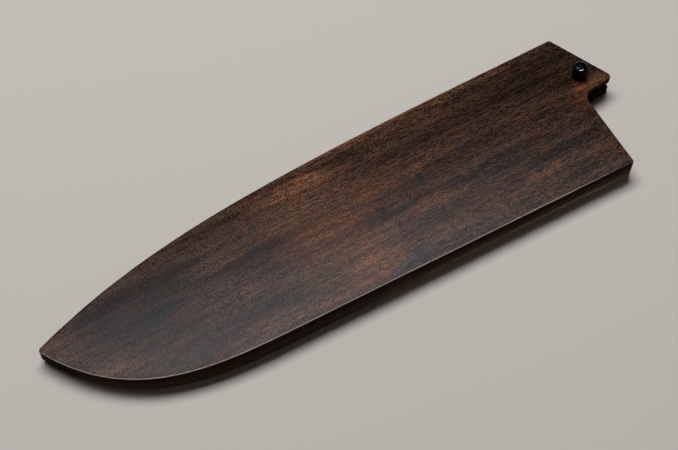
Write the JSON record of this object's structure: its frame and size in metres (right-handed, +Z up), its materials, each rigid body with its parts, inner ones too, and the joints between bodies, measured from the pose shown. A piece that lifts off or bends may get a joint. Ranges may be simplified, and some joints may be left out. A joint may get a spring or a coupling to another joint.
{
  "type": "knife blade guard",
  "caption": "Flat wooden knife sheath with a blade-shaped slot between two face boards, and a tapered pin through the tab that locks the knife in.",
  "frame": {"origin": "middle of the footprint, on the back face that the sheath lies on", "axes": "+X along the sheath toward the knife's handle, +Y toward the blade's spine, +Z up from the back face toward the pin's head"},
  "size_m": [0.2108, 0.0552, 0.0145],
  "materials": {
    "stained_walnut_face": "dark brown stained walnut, oiled to a soft sheen",
    "stained_walnut_strip": "dark brown stained walnut, sawn edge oiled with the faces",
    "black_horn": "polished black horn"
  },
  "bodies": {
    "sheath": {"front_board": "stained_walnut_face", "back_board": "stained_walnut_face", "spine_strip": "stained_walnut_strip", "nose_strip": "stained_walnut_strip", "belly_strip": "stained_walnut_strip", "edge_strip": "stained_walnut_strip"},
    "pin": {"locking_pin": "black_horn"}
  },
  "joints": [
    {"name": "pin_pull", "type": "slide", "parent": "sheath", "child": "pin", "axis": [0, 0, 1], "range_m": [0, 0.014]}
  ]
}
